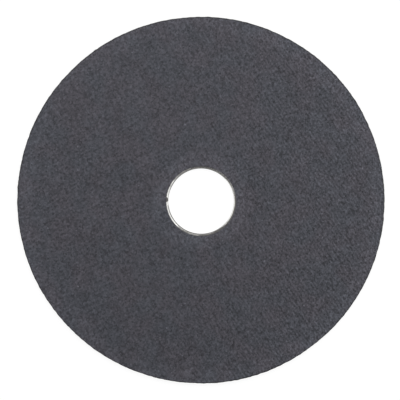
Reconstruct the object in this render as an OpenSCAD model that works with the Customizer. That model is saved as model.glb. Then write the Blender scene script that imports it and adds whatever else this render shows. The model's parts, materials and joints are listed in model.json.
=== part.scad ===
// Flat cut-off wheel: a moulded abrasive disc whose bore is lined by a pressed sheet-metal ring.
// The wheel lies on its back face with its axis on +Z.
// The origin is on the axis, in the plane of the back face.

/* [Wheel] */
// Outside diameter of the abrasive disc
wheel_d = 125; // [100:1:230]
// Thickness of the abrasive disc
wheel_t = 1.6; // [1.2:0.1:3.2]
// Radius of the moulded edge where each face meets the rim
rim_round = 0.2; // [0.05:0.05:0.5]

/* [Arbor ring] */
// Bore that sits on the grinder's locating boss
bore_d = 22.23; // [20:0.01:25.4]
// Thickness of the tinned sheet that the ring is pressed from
sheet_t = 0.25; // [0.2:0.05:0.3]
// Reach of the back flange from the wall of the bore
flange_w = 6; // [3:0.5:8]
// Inside radius of the bend from flange to collar
bend_r = 0.15; // [0.05:0.05:0.3]
// Inside radius of the lip that ends the collar at the front face
lip_r = 0.55; // [0.2:0.05:0.6]
// Depth of the lip's crown below the front face
lip_sink = 0.03; // [0.01:0.01:0.1]

/* [Hidden] */
$fn = 96;

wheel_r = wheel_d / 2;
bore_r = bore_d / 2;
collar_r = bore_r + sheet_t;       // outside of the collar, and the hole moulded in the disc
flange_r = bore_r + flange_w;      // cut edge of the flange
crown_z = wheel_t - lip_sink;      // top of the lip
lip_under_z = crown_z - sheet_t;   // underside of the lip at its cut edge

// The corner that an arc of radius r rounds off a right angle.
// The right angle is at the origin, and its sides run along +X and +Y.
module spandrel(r) {
    difference() {
        square(r);
        translate([r, r]) circle(r);
    }
}

// The two inside fillets of the bent sheet, which the disc's moulding follows
module sheet_fillets() {
    translate([collar_r, sheet_t]) spandrel(bend_r);
    translate([collar_r, lip_under_z]) mirror([0, 1]) spandrel(lip_r);
}

// Half section of the ring: flange on the back, collar through the bore, lip at the front
module ring_section() {
    difference() {
        union() {
            translate([bore_r, 0]) square([flange_w, sheet_t]);
            translate([bore_r, 0]) square([sheet_t, crown_z]);
            translate([bore_r, lip_under_z]) square([sheet_t + lip_r, sheet_t]);
            sheet_fillets();
        }
        translate([bore_r, 0]) spandrel(bend_r + sheet_t);
        translate([bore_r, crown_z]) mirror([0, 1]) spandrel(lip_r + sheet_t);
    }
}

// Half section of the disc: flat faces, softened rim, and the seat moulded round the ring
module disc_section() {
    difference() {
        translate([collar_r, 0]) square([wheel_r - collar_r, wheel_t]);
        translate([collar_r, 0]) square([flange_r - collar_r, sheet_t]);
        translate([collar_r, lip_under_z]) square([lip_r, wheel_t - lip_under_z]);
        sheet_fillets();
        translate([wheel_r, 0]) mirror([1, 0]) spandrel(rim_round);
        translate([wheel_r, wheel_t]) mirror([1, 0]) mirror([0, 1]) spandrel(rim_round);
    }
}

// Grit, resin and glass cloth, pressed and cured in one
module abrasive_disc() {
    color("#4b4b50") rotate_extrude() disc_section();
}

// Bright tinned steel, pressed from one blank and moulded into the disc
module arbor_ring() {
    color("silver") rotate_extrude() ring_section();
}

abrasive_disc();
arbor_ring();
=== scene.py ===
# Flat cut-off wheel: a pressed disc of grit, resin and glass cloth, with a tinned ring in its bore
import json
import math

import bpy
import numpy as np
from mathutils import Matrix, Vector


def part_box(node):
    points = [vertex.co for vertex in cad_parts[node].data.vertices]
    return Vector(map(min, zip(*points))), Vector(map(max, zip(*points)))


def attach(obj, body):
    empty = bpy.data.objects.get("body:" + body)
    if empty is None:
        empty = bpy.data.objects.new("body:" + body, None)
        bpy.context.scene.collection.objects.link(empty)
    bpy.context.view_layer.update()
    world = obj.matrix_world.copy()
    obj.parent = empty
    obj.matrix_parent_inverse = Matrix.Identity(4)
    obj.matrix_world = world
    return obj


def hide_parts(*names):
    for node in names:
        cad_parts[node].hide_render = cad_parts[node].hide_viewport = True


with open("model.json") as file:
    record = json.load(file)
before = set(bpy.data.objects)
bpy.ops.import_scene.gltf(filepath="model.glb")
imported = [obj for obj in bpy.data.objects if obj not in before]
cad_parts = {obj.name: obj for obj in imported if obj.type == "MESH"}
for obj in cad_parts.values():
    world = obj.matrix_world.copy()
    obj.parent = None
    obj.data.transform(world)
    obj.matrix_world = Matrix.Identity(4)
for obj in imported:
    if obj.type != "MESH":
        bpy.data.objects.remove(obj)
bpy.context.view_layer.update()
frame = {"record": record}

mm = 0.001
scene = bpy.context.scene
scene.view_settings.view_transform = "Standard"

# Sizes that the frame already holds
arborBore = next(m for m in frame["record"]["mounts"] if m["name"] == "arbor_bore")
boreR = arborBore["dims"]["r_mm"] * mm
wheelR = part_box("abrasive_disc")[1].x
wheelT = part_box("abrasive_disc")[1].z
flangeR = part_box("arbor_ring")[1].x
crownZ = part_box("arbor_ring")[1].z


# Camera, almost straight above the face

cameraSet = {
    "distance": 633.5 * mm,
    "tilt": 3.46,                                  # degrees off the wheel's axis
    "azimuth": 92.9,                               # the side that it leans to, counted from +X
    "target": (-0.364 * mm, 0.44 * mm, wheelT),    # the point in the middle of the picture
    "span": 136.1 * mm,                            # width of the picture at the target
}


def spherePoint(azimuth, elevation, distance):
    # a point at that bearing and height angle, in degrees, seen from the wheel
    a, e = math.radians(azimuth), math.radians(elevation)
    return Vector((math.cos(a) * math.cos(e), math.sin(a) * math.cos(e), math.sin(e))) * distance


def makeCamera():
    # stands on a sphere round the target and looks in along its radius
    lens = bpy.data.cameras.new("faceCamera")
    lens.lens = lens.sensor_width * cameraSet["distance"] / cameraSet["span"]
    eye = bpy.data.objects.new("faceCamera", lens)
    back = spherePoint(cameraSet["azimuth"], 90 - cameraSet["tilt"], 1)
    right = Vector((0, 1, 0)).cross(back).normalized()      # +Y is up in the picture
    turn = Matrix((right, back.cross(right), back)).transposed()
    spot = Vector(cameraSet["target"]) + back * cameraSet["distance"]
    eye.matrix_world = Matrix.Translation(spot) @ turn.to_4x4()
    scene.collection.objects.link(eye)
    scene.camera = eye


makeCamera()
print("camera: %.1f mm lens" % scene.camera.data.lens)


# Meshes: sections turned round the axis, as whole arrays

sharpAngle = math.radians(50)                      # a bend past this stays a crisp edge
cutOff = 2                                         # spreads past which unevenness is cut off


def line(start, end, count):
    # count points evenly from start towards end, without end itself
    share = np.arange(count)[:, None] / count
    return np.array(start) + share * (np.array(end) - np.array(start))


def arc(centre, radius, start, end, count):
    # count points on a circle from one angle towards another, in degrees, without the last
    angle = np.radians(start + (end - start) * np.arange(count) / count)
    return np.array(centre) + radius * np.stack([np.cos(angle), np.sin(angle)], 1)


def eased(low, high, value):
    # 0 below low, 1 above high, and a smooth rise between them
    share = np.clip((value - low) / (high - low), 0, 1)
    return share * share * (3 - 2 * share)


def unevenness(columns, rows, alongColumns, alongRows, seed):
    # white noise smoothed by a bell of that many cells each way, joined end to end, with a spread of 1
    wave = np.fft.fft2(np.random.default_rng(seed).standard_normal((columns, rows)))
    f, g = np.fft.fftfreq(columns)[:, None], np.fft.fftfreq(rows)[None, :]
    wave *= np.exp(-2 * np.pi ** 2 * ((f * alongColumns) ** 2 + (g * alongRows) ** 2))
    field = np.fft.ifft2(wave).real
    return field / field.std()


def bearings(columns):
    # one angle for each column, evenly round the axis, in radians
    return np.arange(columns)[:, None] * 2 * np.pi / columns


def bumps(columns, places, widths, heights, sharpness):
    # one bump at each bearing, in radians: height times exp(-(gap / width) ** sharpness), added up
    gap = (bearings(columns) - np.asarray(places) + np.pi) % (2 * np.pi) - np.pi
    return (np.asarray(heights) * np.exp(-np.abs(gap / np.asarray(widths)) ** sharpness)).sum(1)[:, None]


def gridObject(name, points, quads, marks=None):
    # four-sided faces between those points, smooth but for crisp edges; a mark is one value per point
    mesh = bpy.data.meshes.new(name)
    mesh.vertices.add(len(points))
    mesh.vertices.foreach_set("co", points.astype(np.float32).ravel())
    mesh.loops.add(quads.size)
    mesh.loops.foreach_set("vertex_index", quads.astype(np.int32).ravel())
    mesh.polygons.add(len(quads))
    mesh.polygons.foreach_set("loop_start", np.arange(0, quads.size, 4, dtype=np.int32))
    mesh.update(calc_edges=True)
    mesh.polygons.foreach_set("use_smooth", np.ones(len(quads), bool))
    mesh.set_sharp_from_angle(angle=sharpAngle)
    for mark, values in (marks or {}).items():
        layer = mesh.attributes.new(mark, "FLOAT", "POINT")
        layer.data.foreach_set("value", values.astype(np.float32).ravel())
    made = bpy.data.objects.new(name, mesh)
    scene.collection.objects.link(made)
    print("%s: %d points, %d faces" % (name, len(points), len(quads)))
    return made


def turned(name, radius, height, marks=None):
    # x = radius cos(bearing), y = radius sin(bearing), z = height: columns run round, rows follow the section
    columns, rows = radius.shape
    bearing = bearings(columns)
    points = np.stack([radius * np.cos(bearing), radius * np.sin(bearing), height], -1)
    i, j = np.meshgrid(np.arange(columns), np.arange(rows), indexing="ij")
    nextI, nextJ = (i + 1) % columns, (j + 1) % rows
    quads = np.stack([i * rows + j, i * rows + nextJ, nextI * rows + nextJ, nextI * rows + j], -1)
    return gridObject(name, points.reshape(-1, 3), quads.reshape(-1, 4), marks)


# The ring: one sheet that runs from a flange on the back, through the bore, to a rolled lip

ringSet = {
    "columns": 720,
    "sheet": 0.25 * mm,
    "bend": 0.15 * mm,                             # inside radius from flange to collar
    "lip": 0.55 * mm,                              # inside radius of the lip
    "lipEnd": 93,                                  # degrees, just short of the softened cut edge
    "edge": 0.03 * mm,                             # softened cut edges
    "wobble": 0.012 * mm,                          # how true the cut edges run
    "wobbleRun": 14,                               # columns that it is smoothed over
    "wobbleReach": (1 * mm, 0.3 * mm),             # in from the flange's edge, and down from the crown
    "seed": 31,
    "reflectionFilmSteep": (0.14 * mm, 0.29 * mm),           # depth below the crown over which the film sets in
    "filmEnd": (0.50 * mm, 0.75 * mm),             # and over which it ends
    "reflectionFilmCrown": (0.05 * mm, 0.24 * mm),           # depth over which the film on the crown ends

    # bearing and half angle in degrees, and strength
    "bare": (                                      # places with little or no film on the steep side
        (179, 24, 0.6),
        (358, 52, 1),
    ),
    "darkenedCrown": (                                     # places with film on the crown
        (352, 34, 1),
        (322, 12, 0.5),
        (281, 12, 1),
        (250, 30, 0.66),
        (177.3, 4, 1),
        (126, 20, 0.66),
    ),
}

sheet = ringSet["sheet"]
collarR = boreR + sheet
lipOuter = ringSet["lip"] + sheet
bendOuter = ringSet["bend"] + sheet
lipCentre = (collarR + ringSet["lip"], crownZ - lipOuter)
bendCentre = (boreR + bendOuter, bendOuter)


def ringSection():
    # along the flange's back, round the bend, up the bore, over the lip, and home inside;
    # the last number of each stretch is its count of points
    edge = ringSet["edge"]
    return np.concatenate([
        line((flangeR - edge, 0), (bendCentre[0], 0), 10),
        arc(bendCentre, bendOuter, 270, 180, 8),
        line((boreR, bendOuter), (boreR, lipCentre[1]), 3),
        arc(lipCentre, lipOuter, 180, ringSet["lipEnd"], 14),
        arc((lipCentre[0] - edge, crownZ - edge), edge, 90, 0, 3),
        line((lipCentre[0], crownZ - edge), (lipCentre[0], crownZ - sheet), 2),
        arc(lipCentre, ringSet["lip"], 90, 180, 5),
        line((collarR, lipCentre[1]), (collarR, bendOuter), 1),
        arc(bendCentre, ringSet["bend"], 180, 270, 4),
        line((bendCentre[0], sheet), (flangeR - edge, sheet), 2),
        arc((flangeR - edge, sheet - edge), edge, 90, 0, 3),
        arc((flangeR - edge, edge), edge, 0, -90, 3),
    ])


def reflectionFilmBumps(columns, places):
    # a flat-topped bump at each place, added up, by bearing
    bearing, half, amount = np.array(places).T
    return bumps(columns, np.radians(bearing), np.radians(half), amount, sharpness=4)


def makeRing():
    # the section at every bearing, with a flange whose edge wanders in and out and a crown that dips
    section = ringSection()
    columns = ringSet["columns"]
    radius, height = (np.repeat(section[None, :, k], columns, 0) for k in (0, 1))
    wander = unevenness(columns, 1, ringSet["wobbleRun"], 1, ringSet["seed"])
    sunk = 0.5 + 0.5 * np.clip(wander, -1, 1)                # 0 to 1, so the crown never rises
    flangeReach, crownReach = ringSet["wobbleReach"]
    radius += ringSet["wobble"] * wander * eased(flangeR - flangeReach, flangeR, radius)
    height -= ringSet["wobble"] * sunk * eased(crownZ - crownReach, crownZ, height)

    # a dull dark film on the lip's steep side and in places on its crown: painted dark reflection, standing
    # in for dark surroundings that the bare tin would mirror
    bare, darkenedCrown = (reflectionFilmBumps(columns, ringSet[kind]) for kind in ("bare", "darkenedCrown"))
    depth = crownZ - height
    steep = eased(*ringSet["reflectionFilmSteep"], depth) * (1 - eased(*ringSet["filmEnd"], depth))
    crown = 1 - eased(*ringSet["reflectionFilmCrown"], depth)
    film = np.maximum(steep * (1 - bare), crown * darkenedCrown)
    return turned("arborRing", radius, height, {"film": film})


# The disc: flat pressed faces, a rough rim, and a little resin flash that crept over the ring's lip

discSet = {
    "columns": 1200,
    "rimRound": 0.2 * mm,
    "rimFade": 1.5 * mm,                           # how far in from the rim its unevenness reaches
    "outOfRound": 0.036 * mm,
    "outlineRun": 30,                              # columns that it is smoothed over
    "outlineGrit": 0.018 * mm,                     # roughness that the rim's outline shows
    "gritRun": 1.4,
    "wallGrit": 0.03 * mm,                         # roughness of the rim's wall itself
    "wallRun": (1.2, 1.1),                         # smoothed over these columns and rows
    "wallEdge": (0.14 * mm, 0.02 * mm),            # in from the rim: the wall's finish starts, and is full
    "upperStart": 0.45,                            # share of the thickness where the face's chips begin
    "chips": 26,
    "chipDepth": (0.03 * mm, 0.12 * mm),
    "chipHalf": (0.25 * mm, 0.8 * mm),
    "chipPower": 3,                                # the higher it is, the more chips are shallow
    "chipDrop": 0.5,                               # share of a chip's depth taken off the edge's height
    "faceWave": 0.015 * mm,
    "waveRun": (25, 2),
    "waveFull": 6 * mm,                            # the faces wave fully this far outside the flange
    "hairline": 0.04 * mm,                         # gap round the flange on the back
    "flashReach": 0.012 * mm,                      # resin that lies on the edge of the lip all round
    "flashTip": 0.008 * mm,                        # thickness of the flash where it ends
    "flashCount": (4, 5),                          # rows of points under the flash and on top of it
    "ragged": 0.35,                                # how unevenly the flash ends
    "raggedRun": 2.5,                              # columns that this is smoothed over
    "tongueRagged": 0.2,                           # share of that on the larger runs
    "tongues": (                                   # larger runs: bearing in degrees, half width, reach
        (177.3, 0.66 * mm, 0.95 * mm),
        (255, 0.20 * mm, 0.25 * mm),
        (239, 0.14 * mm, 0.40 * mm),
        (153.5, 0.12 * mm, 0.50 * mm),
        (90, 3.60 * mm, 0.30 * mm),
        (274, 1.60 * mm, 0.30 * mm),
        (302, 3.50 * mm, 0.62 * mm),
    ),
    "seeds": {"outline": 3, "grit": 4, "wall": 5, "topChips": 6, "backChips": 7, "wave": 8, "flash": 12},
}


def rimChips(columns, seed):
    # small breaks along one edge of the rim, most of them shallow: depth by bearing
    draw = np.random.default_rng(seed)
    places = draw.uniform(0, 2 * np.pi, discSet["chips"])
    halves = draw.uniform(*discSet["chipHalf"], discSet["chips"]) / wheelR
    low, high = discSet["chipDepth"]
    depths = low + (high - low) * draw.uniform(0, 1, discSet["chips"]) ** discSet["chipPower"]
    return bumps(columns, places, halves, depths, sharpness=2)


def flashReach(columns):
    # how far the resin lies over the lip, along its curve, at each bearing
    bearing, half, reach = np.array(discSet["tongues"]).T
    uneven = unevenness(columns, 1, discSet["raggedRun"], 1, discSet["seeds"]["flash"])
    ragged = 1 + discSet["ragged"] * np.clip(uneven, -cutOff, cutOff)
    tongues = bumps(columns, np.radians(bearing), half / boreR, reach, sharpness=4)
    share = discSet["tongueRagged"]
    return discSet["flashReach"] * ragged + tongues * (1 - share + share * ragged)


def flashRows(reach, share, thickness):
    # points on the lip's curve at these shares of the reach, lifted by the thickness
    angle = share * reach / lipOuter
    lifted = lipOuter + thickness
    return lipCentre[0] - lifted * np.sin(angle), lipCentre[1] + lifted * np.cos(angle)


def discSections():
    # in along the back and round the ring's seat, and then, past the flash, out along the face and down
    # the rim; the last number of each stretch is its count of points
    rimRound = discSet["rimRound"]
    faceEnd, fadeStart = wheelR - rimRound, wheelR - discSet["rimFade"]
    recessR = flangeR + discSet["hairline"]
    inner = np.concatenate([
        line((faceEnd, 0), (fadeStart, 0), 4),
        line((fadeStart, 0), (recessR, 0), 10),
        line((recessR, 0), (recessR, sheet), 2),
        line((recessR, sheet), (bendCentre[0], sheet), 2),
        arc(bendCentre, ringSet["bend"], 270, 180, 3),
        line((collarR, bendOuter), (collarR, lipCentre[1]), 1),
        arc(lipCentre, ringSet["lip"], 180, 90, 4),
        line((lipCentre[0], crownZ - sheet), (lipCentre[0], crownZ), 1),
    ])
    outer = np.concatenate([
        line((lipCentre[0], wheelT), (fadeStart, wheelT), 14),
        line((fadeStart, wheelT), (faceEnd, wheelT), 4),
        arc((faceEnd, wheelT - rimRound), rimRound, 90, 0, 4),
        line((wheelR, wheelT - rimRound), (wheelR, rimRound), 8),
        arc((faceEnd, rimRound), rimRound, 0, -90, 4),
    ])
    return inner, outer


def roughened(radius, height):
    # a rim whose outline wanders, with grit on its wall and chips along both edges, and faces that wave
    columns, rows = radius.shape
    seeds = discSet["seeds"]
    atRim = eased(wheelR - discSet["rimFade"], wheelR - discSet["rimRound"], radius)
    upper = eased(discSet["upperStart"] * wheelT, wheelT, height)
    outline = discSet["outOfRound"] * unevenness(columns, 1, discSet["outlineRun"], 1, seeds["outline"])
    outline = outline + discSet["outlineGrit"] * unevenness(columns, 1, discSet["gritRun"], 1, seeds["grit"])
    wall = discSet["wallGrit"] * unevenness(columns, rows, *discSet["wallRun"], seeds["wall"])
    topChips = rimChips(columns, seeds["topChips"]) * upper
    backChips = rimChips(columns, seeds["backChips"]) * (1 - upper)
    uneven = unevenness(columns, rows, *discSet["waveRun"], seeds["wave"])
    wave = discSet["faceWave"] * eased(-cutOff, cutOff, uneven)
    onFace = eased(flangeR, flangeR + discSet["waveFull"], radius) * (1 - atRim)
    drop = atRim * discSet["chipDrop"] * (backChips - topChips)
    inwards = onFace * wave * (1 - 2 * upper)                # both faces only dip
    return radius + atRim * (outline + wall - topChips - backChips), height + (drop + inwards)


def makeDisc():
    # both halves of the section at every bearing, and between them the flash, out over the lip and back
    columns = discSet["columns"]
    inner, outer = discSections()
    reach = flashReach(columns)
    underCount, overCount = discSet["flashCount"]
    under = np.arange(underCount)[None, :] / underCount
    over = 1 - np.arange(overCount)[None, :] / overCount
    full = wheelT - crownZ                                   # flush with the face at the lip's edge
    tip = discSet["flashTip"]
    runs = [flashRows(reach, under, 0), flashRows(reach, over, tip + (full - tip) * (1 - over))]
    before, after = ([np.repeat(part[None, :, k], columns, 0) for k in (0, 1)] for part in (inner, outer))
    radius, height = (np.concatenate([before[k], runs[0][k], runs[1][k], after[k]], 1) for k in (0, 1))
    wallStart, wallFull = discSet["wallEdge"]
    wallShare = eased(wheelR - wallStart, wheelR - wallFull, radius)
    flashShare = np.zeros_like(radius)
    flashShare[:, len(inner):-len(outer)] = 1
    radius, height = roughened(radius, height)
    return turned("abrasiveDisc", radius, height, {"wallShare": wallShare, "flashShare": flashShare})


ring = makeRing()
disc = makeDisc()


# Shader maths as plain expressions

class Wire:
    # one socket of a node tree: + - * / and ** between wires and numbers add Math nodes
    def __init__(self, tree, socket=None):
        self.tree = tree
        self.socket = socket

    def add(self, kind, settings=None, sockets=None, out=0):
        made = self.tree.nodes.new("ShaderNode" + kind)
        for name, value in (settings or {}).items():
            setattr(made, name, value)
        for name, value in (sockets or {}).items():
            if isinstance(value, Wire):
                self.tree.links.new(value.socket, made.inputs[name])
            else:
                made.inputs[name].default_value = value
        return Wire(self.tree, made.outputs[out] if made.outputs else None)

    def maths(self, operation, *values):
        return self.add("Math", {"operation": operation}, dict(enumerate(values)))

    def __add__(self, other):
        return self.maths("ADD", self, other)

    def __radd__(self, other):
        return self.maths("ADD", other, self)

    def __sub__(self, other):
        return self.maths("SUBTRACT", self, other)

    def __rsub__(self, other):
        return self.maths("SUBTRACT", other, self)

    def __mul__(self, other):
        return self.maths("MULTIPLY", self, other)

    def __rmul__(self, other):
        return self.maths("MULTIPLY", other, self)

    def __truediv__(self, other):
        return self.maths("DIVIDE", self, other)

    def __rtruediv__(self, other):
        return self.maths("DIVIDE", other, self)

    def __pow__(self, other):
        return self.maths("POWER", self, other)

    def __rpow__(self, other):
        return self.maths("POWER", other, self)

    def cosine(self):
        return self.maths("COSINE", self)

    def apart(self, other):
        # how far this value is from the other
        return self.maths("ABSOLUTE", self - other)

    def largest(self, other):
        return self.maths("MAXIMUM", self, other)

    def between(self, low, high):
        # 0 at low and 1 at high, eased at both ends
        return self.add("MapRange", {"interpolation_type": "SMOOTHSTEP"},
                        {"Value": self, "From Min": low, "From Max": high})

    def mixed(self, first, second):
        # this wire is the share of the second colour
        return self.add("Mix", {"data_type": "RGBA"}, {0: self, 6: first, 7: second}, out=2)

    def scaled(self, amount):
        # a colour or vector times a value
        return self.add("VectorMath", {"operation": "SCALE"}, {0: self, "Scale": amount})

    def noise(self, size, detail=2.0, out=0):
        # cloudy noise whose blotches are about this size, in metres
        return self.add("TexNoise", None, {"Vector": self, "Scale": 1 / size, "Detail": detail}, out)

    def cells(self, size):
        # a random value for each grain of about this size, in metres
        return self.add("TexVoronoi", None, {"Vector": self, "Scale": 1 / size}, "Color").parts()[0]

    def parts(self):
        # the three values of a vector or colour
        made = self.add("SeparateXYZ", None, {0: self}).socket.node
        return [Wire(self.tree, socket) for socket in made.outputs]

    def placed(self, x, y, z):
        return self.add("CombineXYZ", None, {0: x, 1: y, 2: z})


def colour(r, g, b):
    return (r, g, b, 1)


def newMaterial(name):
    material = bpy.data.materials.new(name)
    material.use_nodes = True
    material.node_tree.nodes.clear()
    return material, Wire(material.node_tree)


# Bonded abrasive

abrasiveLook = {
    "coolGrey": colour(0.0670, 0.0697, 0.0829),
    "warmGrey": colour(0.0725, 0.0697, 0.0824),
    "tintSize": 10 * mm,                           # blotches of the two greys
    "tintFade": (0.35, 0.65),
    "resin": colour(0.120, 0.114, 0.110),

    # two layers of glass cloth, each with its turn in degrees and the spacing of its threads
    "fineCloth": {"turn": 35.7, "warp": 1.09 * mm, "weft": 1.265 * mm},
    "coarseCloth": {"turn": 24.1, "warp": 1.875 * mm, "weft": 1.98 * mm},
    "crossing": 0.3,                               # how far the upper thread hides the lower one
    "threadWander": 0.25 * mm,
    "wanderSize": 7 * mm,
    "rightLitFade": (-30 * mm, 45 * mm),              # along X, where the right half of the face sets in; painted shade of the relief as lit from the right
    "leftFade": (-45 * mm, 0),                     # and where the left half ends, lit from the left
    "fineWarp": (0.12, 1.0),                       # strength all over, and what the right half adds as painted shade of the relief
    "fineWeft": (0.15, 0.36),                      # and what the left half adds as painted shade of the relief
    "coarseWarp": 0.44,
    "coarseWeft": (0.24, 0.12),                    # and what the left half adds as painted shade of the relief
    "clothShade": 0.32,

    # grit in resin
    "grainSize": 0.56 * mm,
    "grain": (0.54, -0.07),                        # strength all over, and what the right half adds as painted shade of the relief
    "fineSize": 0.40 * mm,
    "fineSqueeze": (1.15, 0.75),                   # along X and Y, so that the fine grit is longer along Y
    "fine": (0.27, 0.33),                          # strength all over, and what the right half adds as painted shade of the relief
    "mottleSize": 4 * mm,
    "mottle": 0.27,
    "contrast": 1.3,
    "fleckSize": 0.45 * mm,
    "fleckFew": (0.9985, 0.9995),                  # only grains with a value past this are bright flecks
    "fleckPale": 0.8,

    # zones of the face, by radius
    "hubFade": (15.5 * mm, 17.6 * mm),             # pressed paler over the ring's flange
    "hubPale": 0.19,
    "collarFade": (12.0 * mm, 12.5 * mm),          # darker right beside the lip
    "collarDark": 0.08,
    "borderFade": (wheelR - 6.5 * mm, wheelR - 3.0 * mm),    # paler along the rim
    "borderPale": 0.13,
    "edgeShadeFade": (wheelR - 0.42 * mm, wheelR - 0.20 * mm),   # painted shade: a dark line at the very edge, where the rounded rim turns from the light
    "edgeShadeDark": 0.50,

    # the rim's wall
    "wallDark": colour(0.022, 0.020, 0.019),
    "wallPale": colour(0.088, 0.079, 0.072),
    "wallGritSize": 0.35 * mm,
    "wallTone": (0.8, 0.6),                        # level, and how much the swell changes it
    "yarn": colour(0.22, 0.18, 0.12),
    "yarnRow": 0.30,                               # rows off the middle, as a share of the thickness
    "yarnFade": (0.04, 0.12),                      # half height of a row, where it fades and where it ends
    "yarnSize": 1.1 * mm,
    "yarnSqueeze": 2.2,                            # the cut ends are flat
    "yarnGaps": (0.52, 0.62),
    "yarnShow": 0.55,

    # relief and gloss
    "swellSize": 0.80 * mm,
    "clothRelief": 0.030 * mm,
    "swellRelief": 0.025 * mm,
    "wallRelief": 0.05 * mm,
    "rough": 0.65,
    "grainRough": 0.2,
    "gloss": 0.3,                                  # how much smoother flecks and flash are
    "specular": 0.25,
}


def weave(x, y, cloth):
    # plain weave: the checker says at each crossing whether the warp or the weft thread lies on top
    c, s = math.cos(math.radians(cloth["turn"])), math.sin(math.radians(cloth["turn"]))
    along = (x * c + y * s) * (math.pi / cloth["warp"])
    across = (y * c - x * s) * (math.pi / cloth["weft"])
    over = 0.5 + abrasiveLook["crossing"] * along.cosine() * across.cosine()
    warp = (0.5 + 0.5 * (2 * along).cosine()) * over
    weft = (0.5 + 0.5 * (2 * across).cosine()) * (1 - over)
    return warp - 0.25, weft - 0.25                          # about zero on average


def level(pair, share):
    # the first value all over, plus the second times the share
    return pair[0] + pair[1] * share


def abrasiveMaterial():
    look = abrasiveLook
    material, start = newMaterial("bondedAbrasive")
    place = start.add("TexCoord", out="Object")
    x, y, z = place.parts()
    r = (x * x + y * y) ** 0.5
    wall = start.add("Attribute", {"attribute_name": "wallShare"}, out="Fac")
    flash = start.add("Attribute", {"attribute_name": "flashShare"}, out="Fac")

    # cloth under the resin; that it shows more warp on the right half of the face and more weft on the left
    # is painted shade of its relief, lit from each side
    driftX, driftY = place.noise(look["wanderSize"], detail=1.0, out="Color").parts()[:2]
    wanderX = x + (driftX - 0.5) * look["threadWander"]
    wanderY = y + (driftY - 0.5) * look["threadWander"]
    right = x.between(*look["rightLitFade"])
    left = 1 - x.between(*look["leftFade"])
    fineWarp, fineWeft = weave(wanderX, wanderY, look["fineCloth"])
    coarseWarp, coarseWeft = weave(wanderX, wanderY, look["coarseCloth"])
    cloth = level(look["fineWarp"], right) * fineWarp + level(look["fineWeft"], left) * fineWeft
    cloth = cloth + look["coarseWarp"] * coarseWarp + level(look["coarseWeft"], left) * coarseWeft

    # grit and resin
    squeezeX, squeezeY = look["fineSqueeze"]
    grain = place.cells(look["grainSize"]) - 0.5
    fine = start.placed(x * squeezeX, y * squeezeY, z).cells(look["fineSize"]) - 0.5
    swell = place.noise(look["swellSize"], detail=1.0) - 0.5
    fleck = place.cells(look["fleckSize"]).between(*look["fleckFew"])
    mottle = place.noise(look["mottleSize"]) - 0.5
    # the grit is real; how its contrast changes from the left half to the right is painted shade of its
    # relief, lit from the right
    shade = 1 + level(look["grain"], right) * grain + level(look["fine"], right) * fine
    shade = (shade + look["clothShade"] * cloth + look["mottle"] * mottle) ** look["contrast"]

    # zones of the face
    hub = 1 - r.between(*look["hubFade"])
    collar = 1 - r.between(*look["collarFade"])
    border = r.between(*look["borderFade"])
    edgeShade = r.between(*look["edgeShadeFade"])
    shade = shade * (1 + look["hubPale"] * hub + look["borderPale"] * border)
    # painted shade at the very edge, where the rounded rim turns from the light
    shade = shade * (1 - look["edgeShadeDark"] * edgeShade) * (1 - look["collarDark"] * collar)
    shade = shade + look["fleckPale"] * fleck
    tint = place.noise(look["tintSize"]).between(*look["tintFade"])
    face = tint.mixed(look["coolGrey"], look["warmGrey"]).scaled(shade)

    # the rim's wall: bare grit in brown resin, with the cut ends of the cloth's yarns in two rows
    yarnRow = 1 - (z / wheelT).apart(0.5).apart(look["yarnRow"]).between(*look["yarnFade"])
    flat = start.placed(x, y, z * look["yarnSqueeze"])
    yarn = yarnRow * flat.noise(look["yarnSize"], detail=1.0).between(*look["yarnGaps"])
    wallGrit = place.cells(look["wallGritSize"])
    side = wallGrit.mixed(look["wallDark"], look["wallPale"]).scaled(level(look["wallTone"], swell))
    side = (look["yarnShow"] * yarn).mixed(side, look["yarn"])

    paint = flash.mixed(wall.mixed(face, side), look["resin"])
    relief = look["clothRelief"] * cloth + look["swellRelief"] * swell + look["wallRelief"] * wall * wallGrit
    normal = start.add("Bump", None, {"Strength": 1.0, "Distance": 1.0, "Height": relief * (1 - flash)})
    rough = look["rough"] + look["grainRough"] * grain - look["gloss"] * fleck - look["gloss"] * flash
    surface = start.add("BsdfPrincipled", None, {
        "Base Color": paint, "Roughness": rough, "Normal": normal, "Specular IOR Level": look["specular"]})
    start.add("OutputMaterial", None, {"Surface": surface})
    return material


# Tinned steel

tinLook = {
    "bright": colour(0.74, 0.733, 0.715),
    "dull": colour(0.40, 0.395, 0.38),
    "dullFade": (0.45, 0.7),
    "dullShare": 0.4,
    "cloudSize": 2.5 * mm,
    "lineSize": 0.05 * mm,                         # fine lines that run round
    "lineSqueeze": 0.006,                          # along X and Y, so that the lines are long
    # painted dark reflection: a dull grey where the bare tin would mirror dark surroundings
    "film": colour(0.150, 0.144, 0.135),
    "reflectionFilmFade": (0.15, 0.85),
    "reflectionFilmCloud": 0.8,                              # how much the clouds break up the film
    "stain": colour(0.10, 0.075, 0.055),
    "smearSize": 0.8 * mm,
    "smearFade": (0.52, 0.66),
    "smear": (0.1, 0.2),                           # strength all over, and what the lip's edge adds
    "lipEdge": 0.16 * mm,                          # width of that edge
    "lipEdgeEnd": (12.5 * mm, 13 * mm),            # radii over which it ends
    "metalHidden": 0.85,                           # by the painted reflection film and by smears
    "rough": 0.13,
    "lineRough": 0.14,
    "cloudRough": 0.12,
    "reflectionFilmRough": 0.3,
    "lineRelief": 0.002 * mm,
    "cloudRelief": 0.004 * mm,
}


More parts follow.
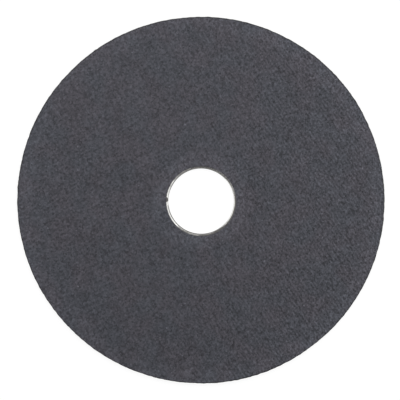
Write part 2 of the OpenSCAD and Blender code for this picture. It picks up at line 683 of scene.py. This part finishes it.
def tinMaterial():
    look = tinLook
    material, start = newMaterial("tinnedSteel")
    place = start.add("TexCoord", out="Object")
    x, y, z = place.parts()
    r = (x * x + y * y) ** 0.5
    lines = start.placed(x * look["lineSqueeze"], y * look["lineSqueeze"], r + z).noise(look["lineSize"])
    cloud = place.noise(look["cloudSize"], detail=3.0)
    reflectionFilmMark = start.add("Attribute", {"attribute_name": "film"}, out="Fac")
    # painted dark reflection on the lip's steep side and in places on its crown
    film = (reflectionFilmMark + look["reflectionFilmCloud"] * (cloud - 0.5)).between(*look["reflectionFilmFade"])
    lipEdge = r.between(lipCentre[0] - look["lipEdge"], lipCentre[0]) * (1 - r.between(*look["lipEdgeEnd"]))
    smear = place.noise(look["smearSize"], detail=3.0).between(*look["smearFade"])
    smear = smear * level(look["smear"], lipEdge)
    hidden = film.largest(smear)
    metal = (look["dullShare"] * cloud.between(*look["dullFade"])).mixed(look["bright"], look["dull"])
    paint = film.mixed(smear.mixed(metal, look["stain"]), look["film"])
    rough = look["rough"] + look["lineRough"] * lines + look["cloudRough"] * cloud
    rough = rough + look["reflectionFilmRough"] * hidden
    metallic = 1 - look["metalHidden"] * hidden
    relief = look["lineRelief"] * lines + look["cloudRelief"] * cloud
    normal = start.add("Bump", None, {"Strength": 1.0, "Distance": 1.0, "Height": relief})
    surface = start.add("BsdfPrincipled", None, {
        "Base Color": paint, "Roughness": rough, "Metallic": metallic, "Normal": normal})
    start.add("OutputMaterial", None, {"Surface": surface})
    return material


disc.data.materials.append(abrasiveMaterial())
ring.data.materials.append(tinMaterial())
for piece, node, finish in ((disc, "abrasive_disc", "bonded_abrasive"), (ring, "arbor_ring", "tinned_steel")):
    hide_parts(node)
    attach(piece, "root")
print("finishes: bonded abrasive and tinned steel")


# Studio: a white floor that curls up far off, and soft lights at the right, at the left and above

studioSet = {
    "floorHalf": 3.0,                              # metres, as the other lengths here
    "floorPoints": 81,
    "floorDrop": 0.05 * mm,                        # keeps the floor clear of the back face
    "coveStart": 2.3,
    "coveRise": 0.45,
    "floorShade": 0.16,                            # the share of its white that takes shadows
    "floorGlow": 0.90,                             # and the share that is seen whatever the light
    "world": 0.15,
    "lights": {                                    # angles in degrees, seen from the wheel; power in watts
        "rightLight": {"azimuth": 3, "elevation": 46, "distance": 0.26,
                       "size": (0.46, 0.30), "power": 0.50},
        "leftLight": {"azimuth": 156, "elevation": 34, "distance": 0.25,
                      "size": (0.36, 0.20), "power": 0.315},
        "topLight": {"azimuth": 80, "elevation": 50, "distance": 0.50,
                     "size": (0.45, 0.30), "power": 0.62},
    },
}


def makeFloor():
    # z = rise * share squared, where share goes from 0 to 1 over the cove
    side = np.linspace(-studioSet["floorHalf"], studioSet["floorHalf"], studioSet["floorPoints"])
    x, y = np.meshgrid(side, side, indexing="ij")
    share = np.clip((np.hypot(x, y) - studioSet["coveStart"])
                    / (studioSet["floorHalf"] - studioSet["coveStart"]), 0, 1)
    z = studioSet["coveRise"] * share ** 2 - studioSet["floorDrop"]
    n = len(side)
    i, j = np.meshgrid(np.arange(n - 1), np.arange(n - 1), indexing="ij")
    quads = np.stack([i * n + j, (i + 1) * n + j, (i + 1) * n + j + 1, i * n + j + 1], -1).reshape(-1, 4)
    floor = gridObject("studioFloor", np.stack([x, y, z], -1).reshape(-1, 3), quads)
    material, start = newMaterial("whiteFloor")
    path = start.add("LightPath").socket.node.outputs
    seen = Wire(start.tree, path["Is Camera Ray"]).largest(Wire(start.tree, path["Is Glossy Ray"]))
    seen = seen.largest(Wire(start.tree, path["Is Transmission Ray"]))
    shade = start.add("BsdfDiffuse", None, {"Color": colour(*[studioSet["floorShade"]] * 3)})
    glow = start.add("Emission", None, {"Color": colour(1, 1, 1), "Strength": seen * studioSet["floorGlow"]})
    start.add("OutputMaterial", None, {"Surface": start.add("AddShader", None, {0: shade, 1: glow})})
    floor.data.materials.append(material)


def makeLight(name, look):
    # a soft rectangle on a sphere round the wheel, turned to face it
    lamp = bpy.data.lights.new(name, "AREA")
    lamp.shape = "RECTANGLE"
    lamp.size, lamp.size_y = look["size"]
    lamp.energy = look["power"]
    made = bpy.data.objects.new(name, lamp)
    made.location = spherePoint(look["azimuth"], look["elevation"], look["distance"])
    made.rotation_mode = "QUATERNION"
    made.rotation_quaternion = (-made.location).to_track_quat("-Z", "Y")
    made.visible_camera = False
    scene.collection.objects.link(made)


def makeWorld():
    # dim and even all round
    world = bpy.data.worlds.new("studio")
    world.use_nodes = True
    world.node_tree.nodes.clear()
    scene.world = world
    start = Wire(world.node_tree)
    sky = start.add("Background", None, {"Color": colour(1, 1, 1), "Strength": studioSet["world"]})
    start.add("OutputWorld", None, {"Surface": sky})


makeFloor()
for name, look in studioSet["lights"].items():
    makeLight(name, look)
makeWorld()
print("studio: floor and %d lights" % len(studioSet["lights"]))
